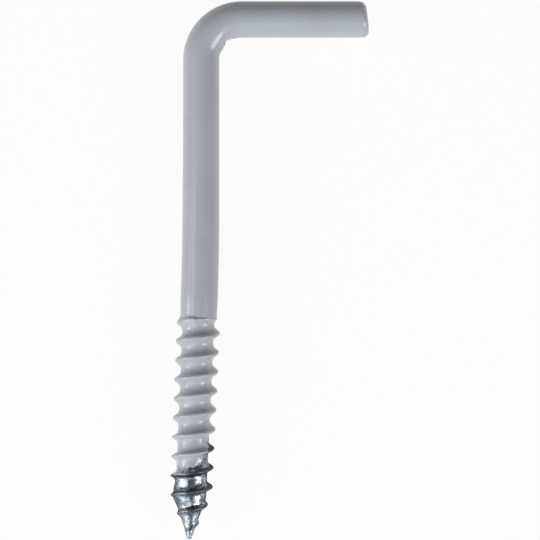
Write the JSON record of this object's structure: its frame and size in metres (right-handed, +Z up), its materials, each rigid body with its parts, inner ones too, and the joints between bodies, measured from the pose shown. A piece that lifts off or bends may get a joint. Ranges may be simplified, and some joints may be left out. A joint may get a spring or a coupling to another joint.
{
  "type": "screw hook",
  "caption": "Square-bend screw hook of coated round wire: a straight arm, a right-angle bend, a long shank and a coarse wood-screw thread with a gimlet point, for hanging things from timber.",
  "frame": {"origin": "on the surface that the hook lies on, under the middle of its bounding box", "axes": "+Z up, square to the plane of the bend, which lies level; +X along the arm, from the shank to its free end; +Y along the shank, from the screw's point towards the bend"},
  "size_m": [0.0221, 0.06, 0.0049],
  "materials": {
    "coated_wire": "gloss"
  },
  "bodies": {
    "root": {"screw_hook": "coated_wire"}
  },
  "joints": []
}
